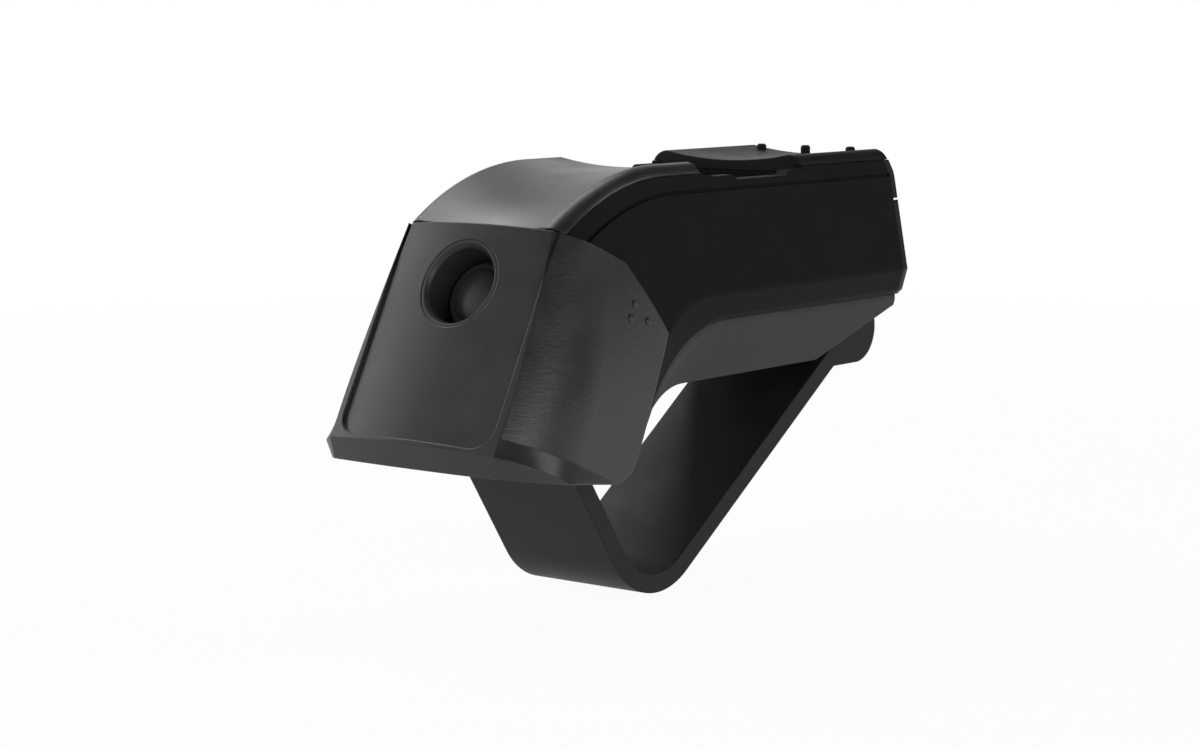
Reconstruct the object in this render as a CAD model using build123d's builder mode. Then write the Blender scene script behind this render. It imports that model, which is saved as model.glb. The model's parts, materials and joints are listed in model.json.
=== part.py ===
from build123d import *
import os
from math import cos, radians, sin, tan

os.makedirs("parts", exist_ok=True)

# Roof bar foot, in millimetres. Origin: centre of the rail pad's flat underside.
# +X points inboard along the bar, the cover faces -X, +Z is up. The foot is symmetric in Y.

# Fits
running_clearance = 0.05
seat_clearance = 0.1
seam_gap = 0.35
swing_clearance = 1.2
cut_margin = 1.0

# Housing section, half widths and heights
rear_x = 66.0
rim_z = 55.7
rim_half = 20.5
rim_fall = 0.1
saddle_sag = 2.0
cap_web = 2.8
tongue_half = 22.0
shoulder_z = 52.9
shoulder_half = 24.6
band_half = 26.9
groove_z = 48.4
groove_half = 27.3
groove_width = 0.8
core_half = 26.4
band_depth = 8.0
band_ledge = 0.4
ridge_z = 22.8
ridge_half = 32.0
ridge_land = 1.0
seam_z = 15.5
seam_inset = 3.2
seam_bevel = 1.4
seam_bevel_inset = 1.7

# Housing side view: where each line starts to bend, and its radius
crown_x = -38.0
crown_radius = 73.0
crown_turn = 52.0
ridge_x = -28.0
ridge_radius = 26.0
leg_seam_x = -17.0
leg_seam_radius = 38.0
leg_turn = 60.0
leg_bottom_z = -20.0

# Rail pad
pad_x = -30.8
pad_radius = 18.0
pad_half = 24.5
pad_top_half = 28.3
pad_lip = 1.6
pad_bottom_z = -18.5
pad_slope_x = 31.0
pad_slope = 20.0
pad_rear_x = 65.0

# Bar channel and the seats on both sides of it
cap_rear_x = -23.5
saddle_front_x = 23.0
channel_half = 21.0
channel_floor_z = 44.0
channel_ramp = 5.0
channel_edge_z = 52.0
notch_front_x = -9.0
notch_rear_x = 14.0
notch_depth = 1.2
peg_radius = 1.35
peg_x = 61.8
peg_pitch = 15.0
peg_height = 0.6
peg_floor = 0.6

# End cap
end_cap_thickness = 2.6
end_cap_edge = 0.5
end_cap_notch_z = 41.5
end_cap_notch_width = 1.7
end_cap_notch_half = 27.6

# Bar plate
plate_x = 2.0
plate_length = 34.0
plate_width = 26.0
plate_thickness = 4.0
bar_bolt_spacing = 22.0
bar_bolt_radius = 2.5
bar_bolt_well = 12.0
plate_screw_pitch = 17.0
plate_screw_radius = 2.0
plate_screw_head_radius = 3.9
plate_screw_length = 12.0

# Front cover, plan sections from the top down
face_tilt = 26.7
hole_x = -89.8
hole_z = 29.0
cover_wall = 3.0
cover_rear_x = -40.0
cover_open = 2.0
top_z = 48.0
top_crease_half = 22.0
top_bow = 2.5
top_side_run = 12.2
top_side_half = 27.0
top_rear_half = 30.5
middle_z = 15.0
middle_lean = 4.0
middle_crease_half = 25.5
middle_bow = 2.7
middle_side_run = 22.8
middle_side_half = 33.0
middle_rear_half = 31.8
sill_z = -4.0
sill_lean = 22.0
sill_proud = 0.7
sill_crease_half = 25.9
sill_bow = 2.7
sill_side_run = 24.0
sill_side_half = 33.4
sill_rear_half = 30.6
nose_z = -8.0
nose_lean = 25.0
nose_proud = 0.9
nose_crease_half = 26.0
nose_bow = 2.7
nose_side_run = 23.0
nose_side_half = 35.7
nose_rear_half = 28.8
foot_drop = 10.0
foot_undercut = 2.6
cheek_undercut = 3.0
crease_share = 0.7
side_share = 0.6
panel_half = 24.0
panel_bottom_z = -7.4
panel_depth = 0.7
panel_corner = 6.0

# Cover outline in side view
seam_slope = 25.3
seam_bend_x = -62.3
seam_bend_z = 33.3
cover_point_x = -46.5
cover_point_z = 14.9
cover_heel_x = -62.4
cover_heel_radius = 9.0
cover_foot_x = -106.0
cover_foot_z = -14.6
cover_foot_slope = 8.4
outline_reach = 40.0

# Cover hinge
hinge_x = -79.0
hinge_z = -10.0
hinge_rod_radius = 2.0
hinge_lug_radius = 4.2
lug_gap = 0.4
hinge_pin_inner = 20.8
hinge_rod_half = 31.0
cheek_half = 26.0
cavity_half = 20.5

# Lock
lock_bore = 9.8
lock_sleeve_radius = 11.4
lock_sleeve_depth = 16.0
lock_sleeve_floor = 2.0
lock_rim_bevel = 1.0
lock_rim_angle = 30.0
sleeve_sink = 0.1
lock_boss_radius = 13.6
lock_boss_depth = 12.0
plug_recess = 9.0
plug_dome = 2.2
plug_neck_radius = 7.0
cam_square = 7.0
cam_hub_radius = 6.2
cam_length = 16.0
cam_width = 8.0
cam_thickness = 2.5
cam_gap = 1.0
cam_screw_radius = 2.0
cam_screw_head_radius = 3.6
cam_screw_head = 2.2
cam_screw_length = 6.0
strike_depth = 3.3
strike_clearance = 0.7
strike_half = 9.0
strike_low = 12.8
strike_height = 7.0

# Rail strap
strap_width = 38.0
strap_thickness = 5.1
strap_tilt = 34.4
strap_corner_x = -37.0
strap_corner_z = -59.6
strap_bend_radius = 19.2
strap_front_run = 56.8
strap_rear_run = 116.4
strap_front_width = 35.0
knuckle_x = 60.0
knuckle_z = 5.5
knuckle_radius = 9.5
pivot_x = 52.0
pivot_z = 20.0
pivot_eye_radius = 7.5
pin_radius = 3.0
pin_half = 25.6
strap_side_clearance = 0.8
fork_gap_half = 6.5
fork_floor_z = -22.6
knuckle_web_x = 48.7

# Strap tensioner, along the bolt's axis
bolt_lean = 22.0
bolt_radius = 3.0
bolt_tail = 5.6
bolt_head_radius = 5.5
bolt_head_height = 6.0
bolt_socket = 5.0
bolt_socket_depth = 3.6
trunnion_radius = 5.0
trunnion_half = 17.2
eye_wall = 2.6
eye_bore = 5.3
eye_play = 0.9
bearing_offset = 13.2
bearing_thickness = 3.0
bearing_length = 47.0
bearing_width = 18.0
washer_radius = 6.5
washer_thickness = 1.2
ring_radius = 4.8
ring_thickness = 1.0
ring_gap = 0.2
ring_grip = 0.02
bearing_clearance = 0.3

# Front cheeks and the cavity between them
cheek_top_x = -66.0
cheek_top_z = 12.0
cheek_heel_x = -63.5
cheek_heel_z = -15.0
cheek_radius = 9.0
cavity_reach = 30.0
cavity_heel_x = -45.0
cavity_floor_x = -57.6
cavity_floor_z = -13.0
cavity_back_x = -48.0
cavity_back_z = 7.0
cavity_roof_z = 23.0
beam_lift = 3.4

# Cap screws
cap_screw_x = -65.0
cap_screw_half = 12.0
cap_screw_radius = 1.5
cap_screw_head_radius = 2.9
cap_screw_head = 2.0
cap_screw_head_z = 38.0
cap_screw_well = 12.0
cap_screw_tip_z = 47.2

# Derived places
crown_z = rim_z - crown_radius
cap_under_z = rim_z - saddle_sag - cap_web
crown_axis = Axis((crown_x, 0, crown_z), (0, -1, 0))
band_foot_z = groove_z + groove_width
lock_plane = Plane(
    origin=(hole_x, 0, hole_z),
    x_dir=(0, 1, 0),
    z_dir=(-cos(radians(face_tilt)), 0, sin(radians(face_tilt))),
)
seam_half = ridge_half - seam_inset
seam_bevel_half = ridge_half - seam_bevel_inset
strap_mid_x = strap_corner_x - strap_front_run * sin(radians(strap_tilt))
strap_mid_z = strap_corner_z + strap_front_run * cos(radians(strap_tilt))
bolt_plane = Plane(
    origin=(strap_mid_x, 0, strap_mid_z),
    x_dir=(0, 1, 0),
    z_dir=(-sin(radians(bolt_lean)), 0, cos(radians(bolt_lean))),
)


def front_x(z):
    """Centre line of the cover's front face at a height."""
    return hole_x - (hole_z - z) * tan(radians(face_tilt))


def bolt_point(station):
    """Point of the side view on the tension bolt's axis."""
    place = bolt_plane.from_local_coords(Vector(0, 0, station))
    return (place.X, place.Z)


def side_plane(y):
    """Side view plane at a distance y from the middle, with +X right and +Z up."""
    return Plane.XZ.offset(-y)


def leg_strip(y, upper, lower, bottom_z):
    """Strip of the side view between two lines that bend down the leg to a level."""
    with BuildSketch(side_plane(y)) as strip:
        with BuildLine():
            ends = []
            for start_x, z, radius in (upper, lower):
                flat = Line((rear_x, z), (start_x, z))
                knee = JernArc(flat @ 1, flat % 1, radius, leg_turn)
                run = ((knee @ 1).Y - bottom_z) / sin(radians(leg_turn))
                shin = Line(knee @ 1, knee @ 1 + (knee % 1) * run)
                ends.append((flat @ 0, shin @ 1))
            Line(ends[0][0], ends[1][0])
            Line(ends[0][1], ends[1][1])
        make_face()
    return strip.sketch


def side_outline(y, upper, lower):
    """Housing side view between two lines, each given by its bend's start, height and radius."""
    with BuildSketch(side_plane(y)) as outline:
        with BuildLine():
            top = Line((rear_x, upper[1]), (upper[0], upper[1]))
            crown = JernArc(top @ 1, top % 1, upper[2], crown_turn)
            low = Line((rear_x, lower[1]), (lower[0], lower[1]))
            knee = JernArc(low @ 1, low % 1, lower[2], leg_turn)
            run = ((knee @ 1).Y - leg_bottom_z) / sin(radians(leg_turn))
            shin = Line(knee @ 1, knee @ 1 + (knee % 1) * run)
            Line(shin @ 1, crown @ 1)
            Line(low @ 0, top @ 0)
        make_face()
    return outline.sketch


def saddle_section(x):
    """Cap section across the bar: concave top, rounded shoulders, tongue below."""
    with BuildSketch(Plane.YZ.offset(x)) as section:
        with BuildLine():
            ThreePointArc((-rim_half, rim_z), (0, rim_z - saddle_sag), (rim_half, rim_z))
            shoulder = TangentArc(
                (rim_half, rim_z), (shoulder_half, shoulder_z), tangent=(1, -rim_fall)
            )
            Polyline(
                shoulder @ 1,
                (tongue_half, shoulder_z),
                (tongue_half, cap_under_z),
                (0, cap_under_z),
            )
            Polyline(
                (-shoulder_half, shoulder_z),
                (-tongue_half, shoulder_z),
                (-tongue_half, cap_under_z),
                (0, cap_under_z),
            )
            TangentArc((-rim_half, rim_z), (-shoulder_half, shoulder_z), tangent=(-1, -rim_fall))
        make_face()
    return section.sketch


def band_section(x):
    """Dark upper band of the housing, with the seat for the cap's tongue."""
    with BuildSketch(Plane.YZ.offset(x)) as section:
        with BuildLine():
            right = Polyline(
                (0, band_foot_z - band_depth),
                (core_half, band_foot_z - band_depth),
                (core_half, band_foot_z),
                (band_half, band_foot_z),
                (shoulder_half + band_ledge, shoulder_z - seat_clearance),
                (tongue_half + seat_clearance, shoulder_z - seat_clearance),
                (tongue_half + seat_clearance, cap_under_z - seat_clearance),
                (0, cap_under_z - seat_clearance),
            )
            mirror(right, about=Plane.YZ)
        make_face()
    return section.sketch


def cover_outline(grow):
    """Side view of the space that the cover fills, grown by half the seam gap."""
    far_x = hole_x - outline_reach
    fall = tan(radians(cover_foot_slope))
    foot_far_z = cover_foot_z + (cover_foot_x - far_x) * fall
    foot_heel_z = cover_foot_z - (cover_heel_x - cover_foot_x) * fall
    with BuildSketch(side_plane(0)) as outline:
        with BuildLine():
            heel = FilletPolyline(
                (cover_point_x, cover_point_z),
                (cover_heel_x, foot_heel_z),
                (far_x, foot_far_z),
                radius=cover_heel_radius,
            )
            Polyline(
                heel @ 1,
                (far_x, seam_bend_z + (seam_bend_x - far_x) * tan(radians(seam_slope))),
                (seam_bend_x, seam_bend_z),
                heel @ 0,
            )
        make_face()
        if grow:
            offset(amount=grow, kind=Kind.INTERSECTION)
    return outline.sketch


def cover_section(nose, lean, halves, runs, inset):
    """Section of the cover, from its nose point back, in a plane that leans down to the rear.

    halves: half widths at the crease, the side and the rear; runs: bow and side distances.
    """
    crease_half, side_half, rear_half = halves
    bow, side_run = runs
    front = inset / cos(radians(face_tilt))
    crease = (front + bow, crease_half - crease_share * inset)
    side = (side_run + side_share * inset, side_half - inset)
    rear = ((cover_rear_x - nose[0]) / cos(radians(lean)), rear_half - inset)
    turn = radians(lean)
    plane = Plane(
        origin=(nose[0], 0, nose[1]),
        x_dir=(cos(turn), 0, -sin(turn)),
        z_dir=(sin(turn), 0, cos(turn)),
    )
    with BuildSketch(plane) as section:
        with BuildLine():
            ThreePointArc((crease[0], -crease[1]), (front, 0), crease)
            flank = Line(rear, side)
            TangentArc(flank @ 1, crease, tangent=flank % 1)
            other_flank = Line((rear[0], -rear[1]), (side[0], -side[1]))
            TangentArc(other_flank @ 1, (crease[0], -crease[1]), tangent=other_flank % 1)
            Line(rear, (rear[0], -rear[1]))
        make_face()
    return section.sketch


def cover_form(inset, sink):
    """Solid block of the cover's outer form, inset all round; sink lowers its open bottom."""
    top = cover_section(
        (front_x(top_z), top_z),
        0,
        (top_crease_half, top_side_half, top_rear_half),
        (top_bow, top_side_run),
        inset,
    )
    middle = cover_section(
        (front_x(middle_z), middle_z),
        middle_lean,
        (middle_crease_half, middle_side_half, middle_rear_half),
        (middle_bow, middle_side_run),
        inset,
    )
    sill = cover_section(
        (front_x(sill_z) - sill_proud, sill_z),
        sill_lean,
        (sill_crease_half, sill_side_half, sill_rear_half),
        (sill_bow, sill_side_run),
        inset,
    )
    nose_x = front_x(nose_z) - nose_proud
    nose = cover_section(
        (nose_x, nose_z),
        nose_lean,
        (nose_crease_half, nose_side_half, nose_rear_half),
        (nose_bow, nose_side_run),
        inset,
    )
    foot = cover_section(
        (nose_x + foot_undercut, nose_z - foot_drop - sink),
        nose_lean,
        (nose_crease_half, nose_side_half - cheek_undercut, nose_rear_half),
        (nose_bow, nose_side_run),
        inset,
    )
    with BuildPart() as form:
        loft([top, middle, sill])
        loft([sill, nose, foot], ruled=True)
    return form.part


def lock_point(depth, height):
    """Point of the side view at a depth behind the lock's face and a height above its axis."""
    place = lock_plane.from_local_coords(Vector(0, -height, -depth))
    return (place.X, place.Z)


def along_lock(radius, start, end):
    """Round bar on the lock's axis between two depths."""
    with BuildPart() as bar:
        with BuildSketch(lock_plane.offset(-start)):
            Circle(radius)
        extrude(amount=start - end)
    return bar.part


def along_bolt(radius, start, end):
    """Round bar on the tension bolt's axis between two stations."""
    with BuildPart() as bar:
        with BuildSketch(bolt_plane.offset(start)):
            Circle(radius)
        extrude(amount=end - start)
    return bar.part


def across(x, z, radius, half):
    """Round bar across the foot."""
    with BuildPart() as bar:
        with BuildSketch(side_plane(0)):
            with Locations((x, z)):
                Circle(radius)
        extrude(amount=half, both=True)
    return bar.part


def upright(x, y, radius, low_z, high_z):
    """Upright round bar."""
    with BuildPart() as bar:
        with BuildSketch(Plane.XY.offset(low_z)):
            with Locations((x, y)):
                Circle(radius)
        extrude(amount=high_z - low_z)
    return bar.part


def strap_pocket(clearance):
    """Side view of the strap's rear eye and knuckle, grown by a clearance."""
    with BuildSketch(side_plane(0)) as pocket:
        with Locations((pivot_x, pivot_z)):
            Circle(pivot_eye_radius + clearance)
        with Locations((knuckle_x, knuckle_z)):
            Circle(knuckle_radius + clearance)
        make_hull()
    return pocket.sketch


# Lines of the housing's side view: bend start, height and bend radius
groove_line = (crown_x, groove_z, groove_z - crown_z)
leg_seam_line = (leg_seam_x, seam_z, leg_seam_radius)
seam_bevel_line = (leg_seam_x, seam_z + seam_bevel, leg_seam_radius + seam_bevel)
ridge_line = (ridge_x, ridge_z, ridge_radius)
ridge_top_line = (ridge_x, ridge_z + ridge_land / 2, ridge_radius + ridge_land / 2)
ridge_low_line = (ridge_x, ridge_z - ridge_land / 2, ridge_radius - ridge_land / 2)
pad_line = (pad_x, 0, pad_radius)
pad_lip_line = (leg_seam_x, seam_z - pad_lip, leg_seam_radius - pad_lip)

# Stations along the bolt
washer_station = bearing_offset + bearing_thickness
head_station = washer_station + washer_thickness
ring_station = bearing_offset - ring_gap - ring_thickness
cam_station = lock_sleeve_depth + cam_gap
cam_back = cam_station + cam_thickness
plate_top_z = channel_floor_z + plate_thickness
body_rear_x = rear_x - end_cap_thickness - seat_clearance
bar_bolt_places = [(plate_x - bar_bolt_spacing / 2, 0), (plate_x + bar_bolt_spacing / 2, 0)]
plate_screw_places = [(plate_x, -plate_screw_pitch / 2), (plate_x, plate_screw_pitch / 2)]
cap_screw_places = [(cap_screw_x, -cap_screw_half), (cap_screw_x, cap_screw_half)]

# Housing: leaning sides over a lower chamfer, upper band, bar channel
with BuildPart() as body_shell:
    loft(
        [
            side_outline(groove_half, groove_line, ridge_low_line),
            side_outline(ridge_half, ridge_top_line, ridge_low_line),
        ],
        ruled=True,
    )
    loft(
        [
            leg_strip(seam_half, ridge_top_line, leg_seam_line, leg_bottom_z),
            leg_strip(seam_bevel_half, ridge_top_line, seam_bevel_line, leg_bottom_z),
            leg_strip(ridge_half, ridge_top_line, ridge_low_line, leg_bottom_z),
        ],
        ruled=True,
    )
    mirror(about=Plane.XZ)
    extrude(side_outline(0, groove_line, ridge_low_line), amount=groove_half, both=True)
    extrude(
        leg_strip(0, ridge_line, leg_seam_line, leg_bottom_z), amount=seam_half, both=True
    )
    extrude(band_section(crown_x), amount=rear_x - crown_x)
    revolve(band_section(crown_x), axis=crown_axis, revolution_arc=crown_turn)
    split(bisect_by=Plane.YZ.offset(body_rear_x), keep=Keep.BOTTOM)
    # bar channel with a notch in the edge of its side walls
    with BuildSketch(side_plane(0)):
        with BuildLine():
            Polyline(
                (cap_rear_x, rim_z),
                (cap_rear_x, shoulder_z),
                (cap_rear_x + channel_ramp, channel_edge_z),
                (notch_front_x - notch_depth, channel_edge_z),
                (notch_front_x, channel_edge_z - notch_depth),
                (notch_rear_x, channel_edge_z - notch_depth),
                (notch_rear_x + notch_depth, channel_edge_z),
                (saddle_front_x, channel_edge_z),
                (saddle_front_x, rim_z),
                close=True,
            )
        make_face()
    extrude(amount=ridge_half, both=True, mode=Mode.SUBTRACT)
    with BuildSketch(Plane.XY.offset(channel_floor_z)):
        with Locations(((cap_rear_x + saddle_front_x) / 2, 0)):
            Rectangle(saddle_front_x - cap_rear_x, 2 * channel_half)
    extrude(amount=rim_z, mode=Mode.SUBTRACT)
    # room for the cover, then the two cheeks that carry its hinge and the tensioner
    extrude(cover_outline(seam_gap), amount=2 * ridge_half, both=True, mode=Mode.SUBTRACT)
    with BuildSketch(side_plane(0)):
        with Locations((hinge_x, hinge_z)):
            Circle(hinge_lug_radius)
        with Locations(bolt_point(bearing_offset)):
            Circle(bearing_width / 2)
        with Locations((cheek_top_x, cheek_top_z)):
            Circle(cheek_radius)
        with Locations((cheek_heel_x, cheek_heel_z)):
            Circle(cheek_radius / 2)
        make_hull()
    extrude(amount=cheek_half, both=True)
    # tension cavity between the cheeks, open to the front and below
    with BuildSketch(side_plane(0)):
        with BuildLine():
            Polyline(
                (hole_x - cavity_reach, leg_bottom_z - cavity_reach),
                (cavity_heel_x, leg_bottom_z - cavity_reach),
                (cavity_heel_x, cavity_floor_z),
                (cavity_floor_x, cavity_floor_z),
                (cavity_back_x, cavity_back_z),
                (cavity_back_x, cavity_roof_z),
                (seam_bend_x, seam_bend_z + beam_lift),
                (hole_x - cavity_reach, seam_bend_z + beam_lift + cavity_reach),
                close=True,
            )
        make_face()
    extrude(amount=cavity_half, both=True, mode=Mode.SUBTRACT)
    # lock strike under the front edge
    with BuildSketch(side_plane(0)):
        with BuildLine():
            strike_back = cam_station - strike_clearance
            Polyline(
                lock_point(strike_back - strike_depth, strike_low),
                lock_point(strike_back, strike_low),
                lock_point(strike_back, strike_low + strike_height),
                lock_point(strike_back - strike_depth, strike_low + strike_height),
                close=True,
            )
        make_face()
    extrude(amount=strike_half, both=True)
    # slots for the bearing plate, open to the front
    with BuildSketch(bolt_plane.offset(bearing_offset - seat_clearance)):
        with Locations((0, bearing_width / 2)):
            Rectangle(
                bearing_length + 2 * seat_clearance, 2 * bearing_width + 2 * seat_clearance
            )
    extrude(amount=bearing_thickness + 2 * seat_clearance, mode=Mode.SUBTRACT)
    # hinge rod, strap pin and its slots, strap pocket
    add(
        across(hinge_x, hinge_z, hinge_rod_radius + running_clearance, ridge_half),
        mode=Mode.SUBTRACT,
    )
    extrude(
        strap_pocket(swing_clearance),
        amount=strap_width / 2 + strap_side_clearance,
        both=True,
        mode=Mode.SUBTRACT,
    )
    add(across(pivot_x, pivot_z, pin_radius + running_clearance, cheek_half), mode=Mode.SUBTRACT)
    with BuildSketch(Plane.XY.offset(pivot_z)):
        with Locations((pivot_x, 0)):
            Rectangle(2 * (pin_radius + running_clearance), 2 * cheek_half)
    extrude(amount=seam_z - pivot_z, mode=Mode.SUBTRACT)
    # holes for the bar plate, its screws and the cap screws
    for x, y in bar_bolt_places:
        add(
            upright(
                x,
                y,
                bar_bolt_radius + cut_margin,
                channel_floor_z - bar_bolt_well,
                channel_floor_z,
            ),
            mode=Mode.SUBTRACT,
        )
    for x, y in plate_screw_places:
        add(
            upright(
                x,
                y,
                plate_screw_radius + running_clearance,
                plate_top_z - plate_screw_length - cut_margin,
                channel_floor_z,
            ),
            mode=Mode.SUBTRACT,
        )
    for x, y in cap_screw_places:
        add(
            upright(x, y, cap_screw_radius + running_clearance, cap_screw_head_z, rim_z),
            mode=Mode.SUBTRACT,
        )
        add(
            upright(
                x,
                y,
                cap_screw_head_radius + seat_clearance,
                cap_screw_head_z - cap_screw_well,
                cap_screw_head_z,
            ),
            mode=Mode.SUBTRACT,
        )
body_shell.part.label = "body_shell"
export_step(body_shell.part, "parts/body_shell.step")

# Top cap: one section run straight, then turned down to the cover
with BuildPart() as top_cap:
    extrude(saddle_section(crown_x), amount=cap_rear_x - crown_x)
    revolve(saddle_section(crown_x), axis=crown_axis, revolution_arc=crown_turn)
    extrude(cover_outline(seam_gap), amount=2 * ridge_half, both=True, mode=Mode.SUBTRACT)
    for x, y in cap_screw_places:
        add(
            upright(x, y, cap_screw_radius + running_clearance, cap_screw_head_z, cap_screw_tip_z),
            mode=Mode.SUBTRACT,
        )
top_cap.part.label = "top_cap"
export_step(top_cap.part, "parts/top_cap.step")

with BuildPart() as cap_screws:
    for x, y in cap_screw_places:
        add(upright(x, y, cap_screw_radius, cap_screw_head_z, cap_screw_tip_z))
        add(
            upright(
                x, y, cap_screw_head_radius, cap_screw_head_z - cap_screw_head, cap_screw_head_z
            )
        )
cap_screws.part.label = "cap_screws"
export_step(cap_screws.part, "parts/cap_screws.step")

# Rear seat for the bar, with blind holes for the pegs
with BuildPart() as bar_saddle:
    extrude(saddle_section(saddle_front_x), amount=rear_x - saddle_front_x)
    for row in (-1, 0, 1):
        add(
            upright(peg_x, row * peg_pitch, peg_radius, cap_under_z + peg_floor, rim_z),
            mode=Mode.SUBTRACT,
        )
bar_saddle.part.label = "bar_saddle"
export_step(bar_saddle.part, "parts/bar_saddle.step")

with BuildPart() as grip_pegs:
    for row in (-1, 0, 1):
        add(upright(peg_x, row * peg_pitch, peg_radius, cap_under_z + peg_floor, rim_z + peg_height))
    chamfer(grip_pegs.faces().sort_by(Axis.Z)[-3:].edges(), length=peg_radius / 3)
grip_pegs.part.label = "grip_pegs"
export_step(grip_pegs.part, "parts/grip_pegs.step")

# End cap: the housing's own section, with a softened edge
with BuildPart() as rear_end_cap:
    with BuildSketch(Plane.YZ.offset(rear_x - end_cap_thickness)):
        with BuildLine():
            half = Polyline(
                (0, seam_z),
                (seam_half, seam_z),
                (seam_bevel_half, seam_z + seam_bevel),
                (ridge_half, ridge_z),
                (groove_half, groove_z),
                (band_half, band_foot_z),
                (shoulder_half + band_ledge, shoulder_z - seat_clearance),
                (tongue_half + seat_clearance, shoulder_z - seat_clearance),
                (tongue_half + seat_clearance, cap_under_z - seat_clearance),
                (0, cap_under_z - seat_clearance),
            )
            mirror(half, about=Plane.YZ)
        make_face()
    extrude(amount=end_cap_thickness)
    chamfer(
        rear_end_cap.faces().sort_by(Axis.X)[-1].edges().filter_by(
            lambda edge: edge.center().Z < groove_z
        ),
        length=end_cap_edge,
    )
    extrude(
        strap_pocket(swing_clearance),
        amount=strap_width / 2 + strap_side_clearance,
        both=True,
        mode=Mode.SUBTRACT,
    )
    with BuildSketch(Plane.YZ.offset(rear_x - end_cap_thickness)):
        with Locations((end_cap_notch_half, end_cap_notch_z), (-end_cap_notch_half, end_cap_notch_z)):
            Rectangle(2 * (groove_half - core_half), end_cap_notch_width)
    extrude(amount=end_cap_thickness, mode=Mode.SUBTRACT)
rear_end_cap.part.label = "rear_end_cap"
export_step(rear_end_cap.part, "parts/rear_end_cap.step")

# Rail pad: flat seat, sloped tail, and a tongue down the inside of the leg
with BuildPart() as rail_pad:
    loft(
        [
            leg_strip(pad_half, leg_seam_line, pad_line, pad_bottom_z),
            leg_strip(pad_top_half, leg_seam_line, pad_lip_line, pad_bottom_z),
        ],
        ruled=True,
    )
    mirror(about=Plane.XZ)
    extrude(leg_strip(0, leg_seam_line, pad_line, pad_bottom_z), amount=pad_half, both=True)
    split(bisect_by=Plane.YZ.offset(pad_rear_x), keep=Keep.BOTTOM)
    with BuildSketch(side_plane(0)):
        with BuildLine():
            reach = rear_x - pad_slope_x
            Polyline(
                (pad_slope_x, 0),
                (pad_slope_x + reach, reach * tan(radians(pad_slope))),
                (pad_slope_x + reach, leg_bottom_z),
                (pad_slope_x, leg_bottom_z),
                close=True,
            )
        make_face()
    extrude(amount=ridge_half, both=True, mode=Mode.SUBTRACT)
    extrude(
        strap_pocket(swing_clearance),
        amount=strap_width / 2 + strap_side_clearance,
        both=True,
        mode=Mode.SUBTRACT,
    )
    with BuildSketch(side_plane(0)):
        with Locations((cavity_floor_x, cavity_floor_z)):
            Rectangle(
                2 * cavity_reach, cavity_reach, align=(Align.CENTER, Align.MAX)
            )
    extrude(amount=cavity_half, both=True, mode=Mode.SUBTRACT)
rail_pad.part.label = "rail_pad"
export_step(rail_pad.part, "parts/rail_pad.step")

# Threaded plate under the bar
with BuildPart() as bar_plate:
    with BuildSketch(Plane.XY.offset(channel_floor_z)):
        with Locations((plate_x, 0)):
            RectangleRounded(plate_length, plate_width, plate_thickness)
    extrude(amount=plate_thickness)
    with Locations([(x, y, plate_top_z) for x, y in bar_bolt_places]):
        Hole(bar_bolt_radius)
    with Locations([(x, y, plate_top_z) for x, y in plate_screw_places]):
        CounterSinkHole(
            plate_screw_radius + running_clearance, plate_screw_head_radius + running_clearance
        )
bar_plate.part.label = "bar_plate"
export_step(bar_plate.part, "parts/bar_plate.step")

with BuildPart() as bar_plate_screws:
    head_depth = plate_screw_head_radius - plate_screw_radius
    for x, y in plate_screw_places:
        add(upright(x, y, plate_screw_radius, plate_top_z - plate_screw_length, plate_top_z))
        with Locations((x, y, plate_top_z - head_depth)):
            Cone(
                plate_screw_radius,
                plate_screw_head_radius,
                head_depth,
                align=(Align.CENTER, Align.CENTER, Align.MIN),
            )
bar_plate_screws.part.label = "bar_plate_screws"
export_step(bar_plate_screws.part, "parts/bar_plate_screws.step")

# Rail strap: square bend, slotted fork at the front, knuckle and eye at the rear
with BuildPart() as rail_strap:
    with BuildSketch(side_plane(0)):
        with BuildLine():
            tilt = radians(strap_tilt)
            FilletPolyline(
                (strap_mid_x, strap_mid_z),
                (strap_corner_x, strap_corner_z),
                (
                    strap_corner_x + strap_rear_run * cos(tilt),
                    strap_corner_z + strap_rear_run * sin(tilt),
                ),
                radius=strap_bend_radius,
            )
        trace(line_width=strap_thickness)
        with Locations((strap_mid_x, strap_mid_z)):
            SlotCenterToCenter(2 * eye_play, 2 * (eye_bore + eye_wall), rotation=bolt_lean)
    extrude(amount=strap_width / 2, both=True)
    extrude(strap_pocket(0), amount=strap_width / 2, both=True)
    with BuildSketch(side_plane(0)):
        with BuildLine():
            web_z = knuckle_z - knuckle_radius
            Polyline((knuckle_web_x, web_z), (knuckle_x, web_z), (knuckle_x, knuckle_z), close=True)
        make_face()
    extrude(amount=strap_width / 2, both=True)
    with BuildSketch(Plane.XY.offset(strap_corner_z)):
        with BuildLine():
            Polyline(
                (strap_mid_x - 2 * eye_bore, strap_front_width / 2),
                (knuckle_x + knuckle_radius, strap_width / 2),
                (knuckle_x + knuckle_radius, -strap_width / 2),
                (strap_mid_x - 2 * eye_bore, -strap_front_width / 2),
                close=True,
            )
        make_face()
    extrude(amount=2 * ridge_half - strap_corner_z, mode=Mode.INTERSECT)
    with BuildSketch(side_plane(0)):
        with Locations((strap_mid_x, strap_mid_z)):
            SlotCenterToCenter(2 * eye_play, 2 * eye_bore, rotation=bolt_lean)
    extrude(amount=strap_width / 2, both=True, mode=Mode.SUBTRACT)
    with BuildSketch(side_plane(0)):
        with Locations((strap_mid_x, fork_floor_z)):
            Rectangle(
                4 * eye_bore, 4 * eye_bore, align=(Align.CENTER, Align.MIN)
            )
    extrude(amount=fork_gap_half, both=True, mode=Mode.SUBTRACT)
    add(
        across(pivot_x, pivot_z, pin_radius + running_clearance, strap_width),
        mode=Mode.SUBTRACT,
    )
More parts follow.
